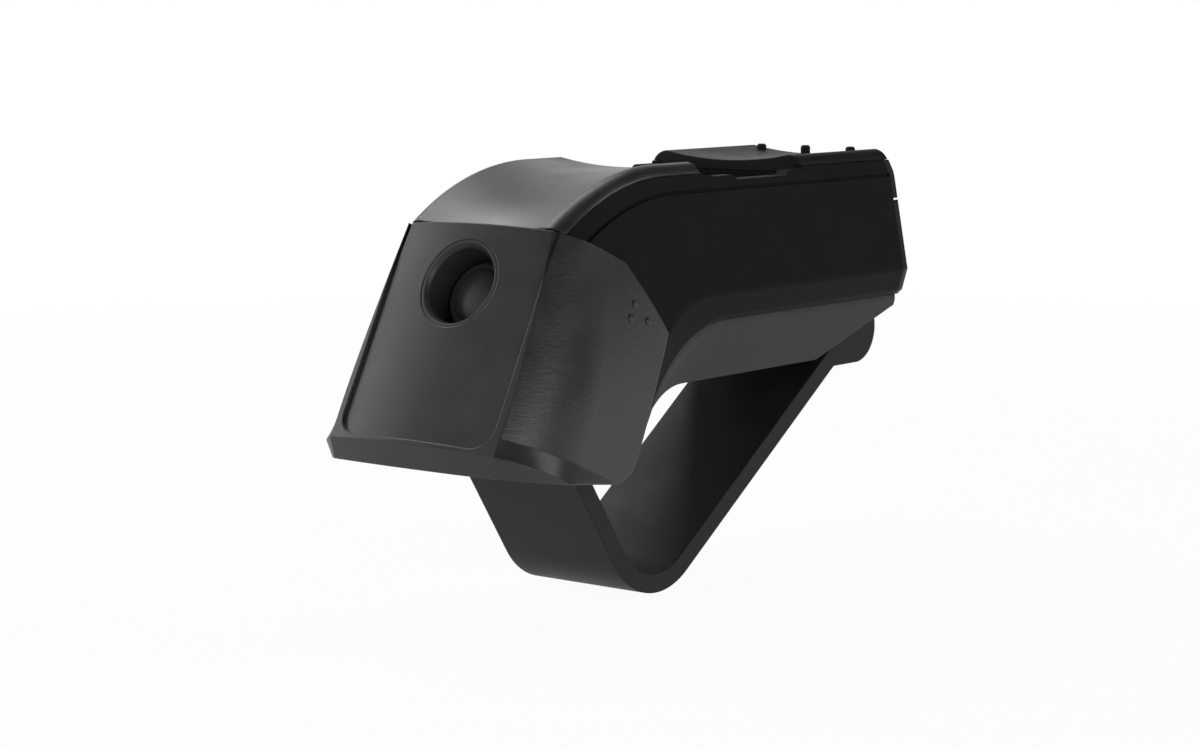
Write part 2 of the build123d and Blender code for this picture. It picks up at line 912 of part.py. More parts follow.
rail_strap.part.label = "rail_strap"
export_step(rail_strap.part, "parts/rail_strap.step")

with BuildPart() as strap_pin:
    add(across(pivot_x, pivot_z, pin_radius, pin_half))
strap_pin.part.label = "strap_pin"
export_step(strap_pin.part, "parts/strap_pin.step")

# Blocks that close the pin's slots from below
with BuildPart() as pin_keepers:
    keeper_inner = strap_width / 2 + strap_side_clearance + seat_clearance
    with BuildSketch(Plane.XY.offset(seam_z)):
        with Locations((pivot_x, (keeper_inner + pin_half) / 2)):
            Rectangle(2 * pin_radius, pin_half - keeper_inner)
    extrude(amount=pivot_z - seam_z)
    mirror(about=Plane.XZ)
    add(
        across(pivot_x, pivot_z, pin_radius + running_clearance, pin_half),
        mode=Mode.SUBTRACT,
    )
pin_keepers.part.label = "pin_keepers"
export_step(pin_keepers.part, "parts/pin_keepers.step")

with BuildPart() as cover_hinge_pins:
    with BuildSketch(side_plane(hinge_pin_inner)):
        with Locations((hinge_x, hinge_z)):
            Circle(hinge_rod_radius)
    extrude(amount=hinge_pin_inner - hinge_rod_half)
    mirror(about=Plane.XZ)
cover_hinge_pins.part.label = "cover_hinge_pins"
export_step(cover_hinge_pins.part, "parts/cover_hinge_pins.step")

# Tensioner
with BuildPart() as bearing_plate:
    with BuildSketch(bolt_plane.offset(bearing_offset)):
        Rectangle(bearing_length, bearing_width)
        Circle(bolt_radius + bearing_clearance, mode=Mode.SUBTRACT)
    extrude(amount=bearing_thickness)
bearing_plate.part.label = "bearing_plate"
export_step(bearing_plate.part, "parts/bearing_plate.step")

with BuildPart() as thrust_washer:
    add(along_bolt(washer_radius, washer_station, head_station))
    add(
        along_bolt(bolt_radius + bearing_clearance, washer_station, head_station),
        mode=Mode.SUBTRACT,
    )
thrust_washer.part.label = "thrust_washer"
export_step(thrust_washer.part, "parts/thrust_washer.step")

with BuildPart() as tension_bolt:
    add(along_bolt(bolt_radius, -bolt_tail, head_station))
    add(along_bolt(bolt_head_radius, head_station, head_station + bolt_head_height))
    with BuildSketch(bolt_plane.offset(head_station + bolt_head_height)):
        RegularPolygon(bolt_socket / 2, 6, major_radius=False)
    extrude(amount=-bolt_socket_depth, mode=Mode.SUBTRACT)
tension_bolt.part.label = "tension_bolt"
export_step(tension_bolt.part, "parts/tension_bolt.step")

with BuildPart() as bolt_retaining_ring:
    add(along_bolt(ring_radius, ring_station, ring_station + ring_thickness))
    add(
        along_bolt(bolt_radius + ring_grip, ring_station, ring_station + ring_thickness),
        mode=Mode.SUBTRACT,
    )
bolt_retaining_ring.part.label = "bolt_retaining_ring"
export_step(bolt_retaining_ring.part, "parts/bolt_retaining_ring.step")

with BuildPart() as trunnion_nut:
    add(across(strap_mid_x, strap_mid_z, trunnion_radius, trunnion_half))
    add(
        along_bolt(bolt_radius + running_clearance, -2 * trunnion_radius, 2 * trunnion_radius),
        mode=Mode.SUBTRACT,
    )
trunnion_nut.part.label = "trunnion_nut"
export_step(trunnion_nut.part, "parts/trunnion_nut.step")


def hinge_lugs():
    """Knuckles between the cheeks and the cover's sides, cut to the cover's form."""
    with BuildPart() as lugs:
        with BuildSketch(side_plane(cheek_half + lug_gap)):
            with Locations((hinge_x, hinge_z)):
                Circle(hinge_lug_radius)
        extrude(amount=-2 * ridge_half)
        mirror(about=Plane.XZ)
        add(cover_form(cover_wall / 2, 0), mode=Mode.INTERSECT)
    return lugs.part


def panel_cut():
    """Shallow recess of the front panel, which follows the cover's bow."""
    drop = (hole_z - panel_bottom_z) / cos(radians(face_tilt))
    with BuildPart() as cut:
        with BuildSketch(lock_plane.offset(lock_boss_depth)):
            with Locations((0, drop)):
                RectangleRounded(
                    2 * panel_half, 4 * drop, panel_corner, align=(Align.CENTER, Align.MAX)
                )
        extrude(amount=-2 * lock_boss_depth)
        add(cover_form(panel_depth, 0), mode=Mode.SUBTRACT)
    return cut.part


# Front cover: lofted shell, trimmed to the seam, with lock boss, hinge lugs and panel
with BuildPart() as front_cover:
    add(cover_form(0, 0))
    add(cover_form(cover_wall, cover_open), mode=Mode.SUBTRACT)
    add(along_lock(lock_boss_radius, 0, lock_boss_depth))
    add(hinge_lugs())
    extrude(cover_outline(0), amount=2 * ridge_half, both=True, mode=Mode.INTERSECT)
    add(panel_cut(), mode=Mode.SUBTRACT)
    add(
        along_lock(lock_sleeve_radius + running_clearance, -lock_boss_depth, lock_sleeve_depth),
        mode=Mode.SUBTRACT,
    )
    add(
        across(hinge_x, hinge_z, hinge_rod_radius + running_clearance, hinge_rod_half + lug_gap),
        mode=Mode.SUBTRACT,
    )
front_cover.part.label = "front_cover"
export_step(front_cover.part, "parts/front_cover.step")

# Lock: sleeve with a bevelled rim, turning plug, tongue and screw
with BuildPart() as lock_sleeve:
    add(along_lock(lock_sleeve_radius, -panel_depth, lock_sleeve_depth))
    add(cover_form(panel_depth + sleeve_sink, 0), mode=Mode.INTERSECT)
    add(
        along_lock(lock_bore, -lock_boss_depth, lock_sleeve_depth - lock_sleeve_floor),
        mode=Mode.SUBTRACT,
    )
    add(
        along_lock(plug_neck_radius + running_clearance, 0, lock_sleeve_depth),
        mode=Mode.SUBTRACT,
    )
    with BuildSketch(lock_plane.offset(-panel_depth)):
        Circle(lock_bore + lock_rim_bevel)
    extrude(amount=-2 * lock_rim_bevel, taper=lock_rim_angle, mode=Mode.SUBTRACT)
lock_sleeve.part.label = "lock_sleeve"
export_step(lock_sleeve.part, "parts/lock_sleeve.step")

with BuildPart() as lock_plug:
    add(
        along_lock(
            lock_bore - seat_clearance,
            plug_recess,
            lock_sleeve_depth - lock_sleeve_floor - seat_clearance,
        )
    )
    fillet(lock_plug.faces().sort_by(Axis.X)[0].edges(), radius=plug_dome)
    add(along_lock(plug_neck_radius, plug_recess + plug_dome, cam_station))
    with BuildSketch(lock_plane.offset(-cam_station)):
        Rectangle(cam_square, cam_square)
    extrude(amount=-cam_thickness)
    add(
        along_lock(
            cam_screw_radius + running_clearance,
            cam_back - cam_screw_length - cut_margin,
            cam_back,
        ),
        mode=Mode.SUBTRACT,
    )
lock_plug.part.label = "lock_plug"
export_step(lock_plug.part, "parts/lock_plug.step")

with BuildPart() as lock_cam:
    with BuildSketch(lock_plane.offset(-cam_station)):
        Circle(cam_hub_radius)
        with Locations((cam_length / 2, 0)):
            SlotOverall(cam_length + cam_width, cam_width)
        Rectangle(
            cam_square + 2 * running_clearance,
            cam_square + 2 * running_clearance,
            mode=Mode.SUBTRACT,
        )
    extrude(amount=-cam_thickness)
    split(
        bisect_by=Plane(origin=(0, cam_length, 0), z_dir=(0, 1, 0)), keep=Keep.BOTTOM
    )
lock_cam.part.label = "lock_cam"
export_step(lock_cam.part, "parts/lock_cam.step")

with BuildPart() as cam_screw:
    add(along_lock(cam_screw_radius, cam_back - cam_screw_length, cam_back))
    add(along_lock(cam_screw_head_radius, cam_back, cam_back + cam_screw_head))
cam_screw.part.label = "cam_screw"
export_step(cam_screw.part, "parts/cam_screw.step")
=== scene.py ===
# %% [markdown]
# # A roof bar foot, dressed for a studio picture
# The frame is a CAD model of the foot: a housing that carries a roof bar, a cover that folds down,
# a lock, and a strap that goes under the rail. This lesson gives every piece a finish from what it
# is really made of, adds the small details that a CAD model leaves out, and lights the set as a
# product photographer would.

# %% Load the frame
import json
import math

import bpy
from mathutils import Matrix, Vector


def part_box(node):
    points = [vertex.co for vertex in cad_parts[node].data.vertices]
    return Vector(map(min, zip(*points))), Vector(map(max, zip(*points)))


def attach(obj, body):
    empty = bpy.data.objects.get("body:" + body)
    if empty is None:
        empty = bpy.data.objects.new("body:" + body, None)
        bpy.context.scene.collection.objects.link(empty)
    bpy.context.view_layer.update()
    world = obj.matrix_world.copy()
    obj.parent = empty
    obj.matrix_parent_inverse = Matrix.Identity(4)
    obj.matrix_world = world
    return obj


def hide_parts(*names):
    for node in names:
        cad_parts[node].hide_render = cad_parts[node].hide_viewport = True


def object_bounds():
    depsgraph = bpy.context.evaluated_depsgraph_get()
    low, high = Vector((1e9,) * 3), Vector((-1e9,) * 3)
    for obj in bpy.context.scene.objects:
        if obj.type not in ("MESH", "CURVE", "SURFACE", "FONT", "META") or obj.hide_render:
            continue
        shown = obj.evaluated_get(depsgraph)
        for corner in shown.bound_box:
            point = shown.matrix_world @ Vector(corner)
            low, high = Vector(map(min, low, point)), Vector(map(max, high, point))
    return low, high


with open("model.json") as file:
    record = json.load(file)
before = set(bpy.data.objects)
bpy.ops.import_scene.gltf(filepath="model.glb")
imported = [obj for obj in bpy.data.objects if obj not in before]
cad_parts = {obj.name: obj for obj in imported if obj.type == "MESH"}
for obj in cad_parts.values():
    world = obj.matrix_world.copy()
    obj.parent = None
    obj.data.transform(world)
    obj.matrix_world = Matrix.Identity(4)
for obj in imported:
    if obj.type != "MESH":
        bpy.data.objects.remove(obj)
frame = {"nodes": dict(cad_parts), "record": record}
cad_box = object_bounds()
nodes = frame["nodes"]
print("nodes:", len(nodes), "box:", cad_box)

# %% [markdown]
# ## Camera
# A product picture of a small part is taken from a little above and from some distance, so that the
# far end does not shrink much. The place and the lens were found by matching edges of the foot in
# the photograph, and they stay as they are.

# %% Camera
camera_place = (-0.5821, -0.4258, 0.0914)
look_yaw = 37.8
look_down = 7.46
sensor_mm = 36.0
lens_mm = 81.3
nearest_seen = 0.01

camera_data = bpy.data.cameras.new("camera")
camera_data.sensor_width = sensor_mm
camera_data.lens = lens_mm
camera_data.clip_start = nearest_seen
camera = bpy.data.objects.new("camera", camera_data)
camera.location = camera_place
# A new camera looks straight down with its top to +Y, so it is tipped up and then turned.
camera.rotation_euler = (math.radians(90 - look_down), 0, math.radians(look_yaw - 90))
bpy.context.scene.collection.objects.link(camera)
bpy.context.scene.camera = camera
bpy.context.scene.view_settings.view_transform = "Standard"
print("camera at", camera_place)

# %% [markdown]
# ## Helpers for colour and nodes
# Colours are written as they would be picked on a screen. Blender's shaders want linear light, so
# one function turns a hex colour into linear values. A second one adds a shader node with its
# settings and its inputs, so that each finish below reads as a short list of nodes. A node that is
# given as an input stands for its first output.

# %% Helpers
def linear(hex_colour):
    channels = [int(hex_colour[i:i + 2], 16) / 255 for i in (1, 3, 5)]
    # The sRGB curve is straight near black and a power of 2.4 above that.
    light = [c / 12.92 if c <= 0.04045 else ((c + 0.055) / 1.055) ** 2.4 for c in channels]
    return (*light, 1.0)


def add_node(tree, kind, settings, inputs):
    made = tree.nodes.new(kind)
    for name, value in settings.items():
        setattr(made, name, value)
    for socket, value in inputs.items():
        if isinstance(value, bpy.types.Node):
            value = value.outputs[0]
        if isinstance(value, bpy.types.NodeSocket):
            tree.links.new(value, made.inputs[socket])
        else:
            made.inputs[socket].default_value = value
    return made


def new_material(name):
    material = bpy.data.materials.new(name)
    material.use_nodes = True
    material.node_tree.nodes.clear()
    return material, material.node_tree


print("mid grey in linear light:", round(linear("#808080")[0], 3))

# %% [markdown]
# ## Floor
# The set is a pale floor with a white paper sweep behind it, in an otherwise dim room. The floor is
# white where the camera, a mirror or a glass looks at it. Near the foot, a little of its own paint
# shows, which keeps the shadow, and further out it fades into the white, so there is no horizon.
# A flat disc is enough for that, because the world behind it is painted white as well.

# %% Floor
floor_gap = 0.0005
floor_radius = 4.0
floor_z = cad_box[0][2] - floor_gap

bpy.ops.object.select_all(action="DESELECT")
bpy.ops.mesh.primitive_circle_add(vertices=96, radius=floor_radius, fill_type="NGON",
                                  location=(0, 0, floor_z))
floor = bpy.context.object
floor.name = "floor"
print("floor at", round(floor_z, 4))

# %% Floor paint
shadow_reach = 0.2
white_reach = 0.9
white_near_foot = 0.95

floor_paint, tree = new_material("matt white studio floor")
path = add_node(tree, "ShaderNodeLightPath", {}, {})
straight = add_node(tree, "ShaderNodeMath", {"operation": "MAXIMUM"},
                    {0: path.outputs["Is Camera Ray"], 1: path.outputs["Is Glossy Ray"]})
seen = add_node(tree, "ShaderNodeMath", {"operation": "MAXIMUM"},
                {0: straight, 1: path.outputs["Is Transmission Ray"]})
spot = add_node(tree, "ShaderNodeTexCoord", {}, {})
reach = add_node(tree, "ShaderNodeVectorMath", {"operation": "LENGTH"}, {0: spot.outputs["Object"]})
fade = add_node(tree, "ShaderNodeMapRange", {"interpolation_type": "SMOOTHSTEP"},
                {"Value": reach.outputs["Value"], "From Min": shadow_reach,
                 "From Max": white_reach, "To Min": white_near_foot, "To Max": 1.0})
share = add_node(tree, "ShaderNodeMath", {"operation": "MULTIPLY"}, {0: seen, 1: fade})
paint = add_node(tree, "ShaderNodeBsdfDiffuse", {}, {"Color": linear("#e8e8e8")})
white = add_node(tree, "ShaderNodeEmission", {}, {"Color": linear("#ffffff"), "Strength": 1.0})
both = add_node(tree, "ShaderNodeMixShader", {}, {0: share, 1: paint, 2: white})
add_node(tree, "ShaderNodeOutputMaterial", {}, {"Surface": both})
floor.data.materials.append(floor_paint)
print("all white from", white_reach, "m out")

# %% [markdown]
# ## Surround
# The surround is painted by direction: white over the third of the room that lies behind the foot
# and as high as the paper hangs, dim elsewhere. The dim room on the near side keeps the long side
# of the housing almost black. The dark gap between the paper and the softbox above it gives the cap
# its fall from light to dark. The camera sees white all round, so the other views get the same
# clean background.

# %% Paper behind the foot
# All angles are in degrees. Edge and full are measured from the middle of the paper.
paper_azimuth = 82.0
paper_edge = 66.0
paper_full = 48.0
paper_top = 24.0
above_paper = 38.0
above_share = 0.35
dim_room = 0.1

world = bpy.data.worlds.new("paper sweep in a dim room")
bpy.context.scene.world = world
world.use_nodes = True
tree = world.node_tree
tree.nodes.clear()
middle = math.radians(paper_azimuth)
way = add_node(tree, "ShaderNodeTexCoord", {}, {})
facing = add_node(tree, "ShaderNodeVectorMath", {"operation": "DOT_PRODUCT"},
                  {0: way.outputs["Generated"], 1: (math.cos(middle), math.sin(middle), 0.0)})
paper = add_node(tree, "ShaderNodeMapRange", {"interpolation_type": "SMOOTHSTEP"},
                 {"Value": facing.outputs["Value"],
                  "From Min": math.cos(math.radians(paper_edge)),
                  "From Max": math.cos(math.radians(paper_full)),
                  "To Min": dim_room, "To Max": 1.0})
rise = add_node(tree, "ShaderNodeSeparateXYZ", {}, {"Vector": way.outputs["Generated"]})
height = add_node(tree, "ShaderNodeMapRange", {"interpolation_type": "SMOOTHSTEP"},
                  {"Value": rise.outputs["Z"],
                   "From Min": math.sin(math.radians(paper_top)),
                   "From Max": math.sin(math.radians(above_paper)),
                   "To Min": 1.0, "To Max": above_share})
hung = add_node(tree, "ShaderNodeMath", {"operation": "MULTIPLY"}, {0: paper, 1: height})
print("white paper behind, towards", paper_azimuth, "degrees")

# %% Light from the paper
# Matt surfaces get less of the paper than mirrors do, which leaves their shading to the lamps.
matt_share = 0.6

path = add_node(tree, "ShaderNodeLightPath", {}, {})
mirrored = add_node(tree, "ShaderNodeMath", {"operation": "MAXIMUM"},
                    {0: path.outputs["Is Glossy Ray"], 1: path.outputs["Is Transmission Ray"]})
bright = add_node(tree, "ShaderNodeMapRange", {},
                  {"Value": mirrored, "To Min": matt_share, "To Max": 1.0})
room = add_node(tree, "ShaderNodeMath", {"operation": "MULTIPLY"}, {0: hung, 1: bright})
level = add_node(tree, "ShaderNodeMath", {"operation": "MAXIMUM"},
                 {0: room, 1: path.outputs["Is Camera Ray"]})
sweep = add_node(tree, "ShaderNodeBackground", {},
                 {"Color": linear("#ffffff"), "Strength": level})
add_node(tree, "ShaderNodeOutputWorld", {}, {"Surface": sweep})
print("world:", world.name)

# %% [markdown]
# ## Lamps
# Black plastic shows its shape by what it reflects, so each lamp stands where one face of the foot
# mirrors it towards the camera. The wide softbox draws the curve of the cap, and the one behind
# reaches the inside of the strap. The one on the left fades over the front panel, the low strip and
# the small softbox pick out the near cheek and its edges, and a small lamp in front puts one soft
# spot on the lock.

# %% Lamps
def soft_lamp(name, place, target, size, watts):
    data = bpy.data.lights.new(name, "AREA")
    data.shape = "RECTANGLE"
    data.size, data.size_y = size
    data.energy = watts
    lamp = bpy.data.objects.new(name, data)
    lamp.location = place
    lamp.rotation_euler = (Vector(target) - Vector(place)).to_track_quat("-Z", "Y").to_euler()
    bpy.context.scene.collection.objects.link(lamp)


soft_lamp("softbox above the paper", place=(0.1, 0.34, 0.82), target=(0, 0, 0.03),
          size=(0.8, 0.34), watts=3.6)
soft_lamp("small softbox behind", place=(0.06, 0.53, 0.63), target=(-0.04, 0, -0.03),
          size=(0.18, 0.16), watts=1.1)
soft_lamp("softbox on the left", place=(-0.33, 0.82, 0.31), target=(-0.09, 0.02, 0.01),
          size=(0.5, 0.4), watts=1.2)
soft_lamp("low strip on the right", place=(-0.33, -0.68, 0.08), target=(-0.08, -0.03, 0.0),
          size=(0.55, 0.16), watts=2.2)
soft_lamp("small softbox on the right", place=(0.35, -0.42, 0.37), target=(-0.09, -0.03, -0.01),
          size=(0.14, 0.1), watts=0.7)
soft_lamp("small lamp in front", place=(-0.61, 0.15, 0.27), target=(-0.09, 0, 0.025),
          size=(0.1, 0.1), watts=0.5)

# %% [markdown]
# ## Leather grain
# The cover's cheeks carry a leather grain that is etched into the mould: short flecks that lie
# level. The front panel of the same piece is smooth, so the grain fades in where the surface turns
# to the side. A noise that is stretched along the length of the foot gives the flecks. Their height
# is added to the fine grain that every moulding here has, which the next step makes.

# %% Leather grain on the faces that look sideways
# The flecks stand this many times as high as the fine grain. The two limits are for the sideways
# part of the surface's normal, which is small on the front panel and large on the cheeks.
leather_strength = 4.0
leather_starts = 0.3
leather_full = 0.5


def leather_grain(tree, place, grain, length_mm, width_mm):
    level = add_node(tree, "ShaderNodeMapping", {},
                     {"Vector": place.outputs["Object"],
                      "Scale": (1000 / length_mm, 1000 / length_mm, 1000 / width_mm)})
    flecks = add_node(tree, "ShaderNodeTexNoise", {},
                      {"Vector": level, "Scale": 1.0, "Detail": 3.0})
    facing = add_node(tree, "ShaderNodeSeparateXYZ", {}, {"Vector": place.outputs["Normal"]})
    sideways = add_node(tree, "ShaderNodeMath", {"operation": "ABSOLUTE"},
                        {0: facing.outputs["Y"]})
    fade = add_node(tree, "ShaderNodeMapRange", {},
                    {"Value": sideways, "From Min": leather_starts, "From Max": leather_full,
                     "To Min": 0.0, "To Max": leather_strength})
    return add_node(tree, "ShaderNodeMath", {"operation": "MULTIPLY_ADD"},
                    {0: flecks, 1: fade, 2: grain})


print("leather grain from a sideways normal of", leather_starts)

# %% [markdown]
# ## Moulded plastic
# The housing, cap and cover are glass-filled nylon or ABS from a mould whose steel was spark
# eroded. That leaves a fine even grain that breaks up the highlight, so the surface is dark, satin
# and never quite uniform. One recipe makes all the mouldings: a grain for the bump, and the same
# grain with a slow mottle for the colour and the roughness. No moulded edge is knife sharp, so a
# Bevel node turns the shading over the last half millimetre or so, and every edge catches a thin
# light.

# %% Recipe for a moulded surface
edge_mm = 0.6
mottle_mm = 12.0
grain_in_colour = 0.5
# The mix of grain and mottle lies mostly between these two.
mix_low, mix_high = 0.5, 1.0
gloss_swing = 0.05


def moulded(name, dark, pale, roughness, specular, grain_mm, depth_mm, leather_mm=None):
    material, tree = new_material(name)
    place = add_node(tree, "ShaderNodeTexCoord", {}, {})
    grain = add_node(tree, "ShaderNodeTexNoise", {},
                     {"Vector": place.outputs["Object"], "Scale": 1000 / grain_mm,
                      "Detail": 2.0, "Roughness": 0.6})
    mottle = add_node(tree, "ShaderNodeTexNoise", {},
                      {"Vector": place.outputs["Object"], "Scale": 1000 / mottle_mm,
                       "Detail": 4.0})
    mixed = add_node(tree, "ShaderNodeMath", {"operation": "MULTIPLY_ADD"},
                     {0: grain, 1: grain_in_colour, 2: mottle})
    colour = add_node(tree, "ShaderNodeValToRGB", {}, {0: mixed})
    stops = colour.color_ramp.elements
    stops[0].position, stops[0].color = mix_low, linear(dark)
    stops[1].position, stops[1].color = mix_high, linear(pale)
    gloss = add_node(tree, "ShaderNodeMapRange", {},
                     {"Value": mixed, "From Min": mix_low, "From Max": mix_high,
                      "To Min": roughness - gloss_swing, "To Max": roughness + gloss_swing})
    edge = add_node(tree, "ShaderNodeBevel", {"samples": 6}, {"Radius": edge_mm / 1000})
    height = leather_grain(tree, place, grain, *leather_mm) if leather_mm else grain
    relief = add_node(tree, "ShaderNodeBump", {},
                      {"Strength": 1.0, "Distance": depth_mm / 1000, "Height": height,
                       "Normal": edge})
    shader = add_node(tree, "ShaderNodeBsdfPrincipled", {},
                      {"Base Color": colour, "Roughness": gloss,
                       "Specular IOR Level": specular, "Normal": relief})
    add_node(tree, "ShaderNodeOutputMaterial", {}, {"Surface": shader})
    return material


print("edges catch the light over", edge_mm, "mm")

# %% [markdown]
# The finishes differ in grey, in gloss and in grain. A real spark texture is about a tenth of a
# millimetre wide, and a pixel of the picture covers about a quarter of one, so the grain is drawn
# at a quarter to half a millimetre, as coarse as it needs to show. The housing is the blackest of
# the large pieces, and the pad the palest.

# %% Plastic finishes
finishes = {
    # Glass-filled nylon with a dry texture: dull black, with hardly any highlight.
    "housing_plastic": moulded("spark-textured black nylon", "#151515", "#1c1c1c", roughness=0.6,
                               specular=0.06, grain_mm=0.35, depth_mm=0.012),
    # The same nylon in charcoal: satin, so the curve of the cap carries a long soft light.
    "cap_plastic": moulded("spark-textured charcoal nylon", "#222222", "#2b2b2b", roughness=0.36,
                           specular=0.45, grain_mm=0.35, depth_mm=0.012),
    # From a smoother mould, with a finer grain: an even black under the bar.
    "seat_plastic": moulded("smooth-moulded black nylon", "#0c0c0c", "#131313", roughness=0.5,
                            specular=0.2, grain_mm=0.25, depth_mm=0.006),
    # Polypropylene keeps a faint waxy sheen.
    "end_cap_plastic": moulded("smooth-moulded black polypropylene", "#121212", "#1a1a1a",
                               roughness=0.5, specular=0.3, grain_mm=0.3, depth_mm=0.008),
    # Satin charcoal, with flecks of leather grain on the cheeks.
    "cover_plastic": moulded("spark-textured charcoal ABS", "#242424", "#2e2e2e", roughness=0.4,
                             specular=0.42, grain_mm=0.4, depth_mm=0.014, leather_mm=(2.4, 0.7)),
    # A little paler and smoother than the cover, so the ring reads as a piece of its own.
    "sleeve_plastic": moulded("smooth-moulded charcoal acetal", "#282828", "#303030",
                              roughness=0.45, specular=0.35, grain_mm=0.25, depth_mm=0.005),
    # The glossiest plastic here: one clear soft spot on the domed face.
    "plug_plastic": moulded("polished black acetal", "#2e2e2e", "#383838", roughness=0.32,
                            specular=0.55, grain_mm=0.25, depth_mm=0.003),
    # Unpolished acetal, hidden inside: a plain dark grey.
    "keeper_plastic": moulded("moulded black acetal", "#1c1c1c", "#242424", roughness=0.5,
                              specular=0.3, grain_mm=0.3, depth_mm=0.006),
}
print("plastic finishes:", len(finishes))

# %% [markdown]
# The pad, the pegs and the strap's cover are EPDM rubber, pressed in a mould. Rubber has the same
# kind of grain, only coarser, and a wide weak highlight, so the same recipe serves.

# %% Rubber finishes
# Greyed by its fillers, and dull.
finishes["pad_rubber"] = moulded("moulded EPDM rubber", "#363636", "#404040", roughness=0.7,
                                 specular=0.25, grain_mm=0.5, depth_mm=0.015)
# Darker, with a faint sheen on the outside of the bend.
finishes["strap_rubber"] = moulded("satin moulded EPDM rubber", "#1b1b1b", "#222222",
                                   roughness=0.55, specular=0.2, grain_mm=0.4, depth_mm=0.01)
# Nearly black, and dull.
finishes["peg_rubber"] = moulded("dull moulded EPDM rubber", "#141414", "#1c1c1c", roughness=0.7,
                                 specular=0.25, grain_mm=0.4, depth_mm=0.01)
print("moulded finishes:", len(finishes))

# %% [markdown]
# ## Metal
# The screws, pins and nut are drawn or turned steel, the washer is turned brass, and the plate and
# its screws are coated black. Drawing and turning leave marks a tenth of a millimetre apart or less.
# Those are too fine to show, so they are drawn coarser, as an even noise at 0.3 to 0.5 mm that
# varies the gloss. A slower cloud varies the colour.

# %% Recipe for a turned, drawn or coated metal
mark_depth_mm = 0.004
mark_low, mark_high = 0.3, 0.7
mark_swing = 0.06
cloud_mm = 4.0
cloud_low, cloud_high = 0.35, 0.65


def turned_metal(name, dark, pale, roughness, metallic, mark_mm):
    material, tree = new_material(name)
    place = add_node(tree, "ShaderNodeTexCoord", {}, {})
    marks = add_node(tree, "ShaderNodeTexNoise", {},
                     {"Vector": place.outputs["Object"], "Scale": 1000 / mark_mm, "Detail": 3.0})
    cloud = add_node(tree, "ShaderNodeTexNoise", {},
                     {"Vector": place.outputs["Object"], "Scale": 1000 / cloud_mm, "Detail": 3.0})
    colour = add_node(tree, "ShaderNodeValToRGB", {}, {0: cloud})
    stops = colour.color_ramp.elements
    stops[0].position, stops[0].color = cloud_low, linear(dark)
    stops[1].position, stops[1].color = cloud_high, linear(pale)
    gloss = add_node(tree, "ShaderNodeMapRange", {},
                     {"Value": marks, "From Min": mark_low, "From Max": mark_high,
                      "To Min": roughness - mark_swing, "To Max": roughness + mark_swing})
    relief = add_node(tree, "ShaderNodeBump", {},
                      {"Strength": 1.0, "Distance": mark_depth_mm / 1000, "Height": marks})
    shader = add_node(tree, "ShaderNodeBsdfPrincipled", {},
                      {"Base Color": colour, "Roughness": gloss, "Metallic": metallic,
                       "Normal": relief})
    add_node(tree, "ShaderNodeOutputMaterial", {}, {"Surface": shader})
    return material


print("metal marks drawn", mark_depth_mm, "mm deep")

# %% Metal finishes
# Clean and grey, with a clear highlight.
finishes["plain_steel"] = turned_metal("drawn steel", "#a4a5a7", "#b8b9bb", roughness=0.32,
                                       metallic=1.0, mark_mm=0.3)
# Zinc is paler, a little blue, and cloudy.
finishes["zinc_steel"] = turned_metal("zinc plated steel", "#b2b6ba", "#c8ccd0", roughness=0.38,
                                      metallic=1.0, mark_mm=0.5)
# The one warm colour on the foot, seen when the cover is open.
finishes["washer_brass"] = turned_metal("turned brass", "#c09a52", "#d8b468", roughness=0.3,
                                        metallic=1.0, mark_mm=0.3)
# A coat hides the metal, so these two shine as a dark paint does.
finishes["black_plate"] = turned_metal("black e-coated steel", "#161616", "#1e1e1e",
                                       roughness=0.45, metallic=0.0, mark_mm=0.4)
finishes["black_screw"] = turned_metal("black oxide steel", "#1a1a1b", "#242425", roughness=0.4,
                                       metallic=0.0, mark_mm=0.3)
print("finishes:", sorted(finishes))

# %% [markdown]
# ## Dress the frame
# The frame's own meshes already carry the shading of the CAD surfaces, so curved walls look moulded
# and real edges stay crisp. They only need their finish, which the record names for each node.

# %% Dress the frame
for subpart in frame["record"]["subparts"]:
    slots = nodes[subpart["node"]].data.materials
    slots.clear()
    slots.append(finishes[subpart["material_slot"]])

# %% [markdown]
# ## Pips on the cover's cheek
# Three small round pips stand on the near cheek, close to the seam. A mould maker cuts such pips as
# shallow cups in the steel, so each is a flattened half ball. One ball is cut in half and pressed
# flat, and the pips are copies of it. A ray towards the cheek says where the surface is for each,
# and how it leans there.

# %% Half ball, pressed flat
def flat_button(name, radius, height):
    bpy.ops.object.select_all(action="DESELECT")
    bpy.ops.mesh.primitive_uv_sphere_add(segments=48, ring_count=24, radius=radius)
    button = bpy.context.object
    button.name = name
    bpy.ops.object.mode_set(mode="EDIT")
    bpy.ops.mesh.select_all(action="SELECT")
    bpy.ops.mesh.bisect(plane_co=(0, 0, 0), plane_no=(0, 0, 1), clear_inner=True, use_fill=True)
    bpy.ops.mesh.select_all(action="SELECT")
    # Without a centre, resize works from the middle of the points and lifts the flat face.
    bpy.ops.transform.resize(value=(1, 1, height / radius), center_override=(0, 0, 0))
    bpy.ops.object.mode_set(mode="OBJECT")
    bpy.ops.object.shade_smooth_by_angle(angle=math.radians(40))
    return button


print("a button is a half ball, pressed flat")

# %% Place a piece on a surface
def set_on(piece, place, direction):
    piece.rotation_mode = "QUATERNION"
    piece.rotation_quaternion = direction.to_track_quat("Z", "Y")
    piece.location = place
    bpy.ops.object.select_all(action="DESELECT")
    piece.select_set(True)
    bpy.context.view_layer.objects.active = piece
    bpy.ops.object.transform_apply(location=True, rotation=True, scale=True)


print("a piece is turned to the surface, moved there, and its place goes into its mesh")

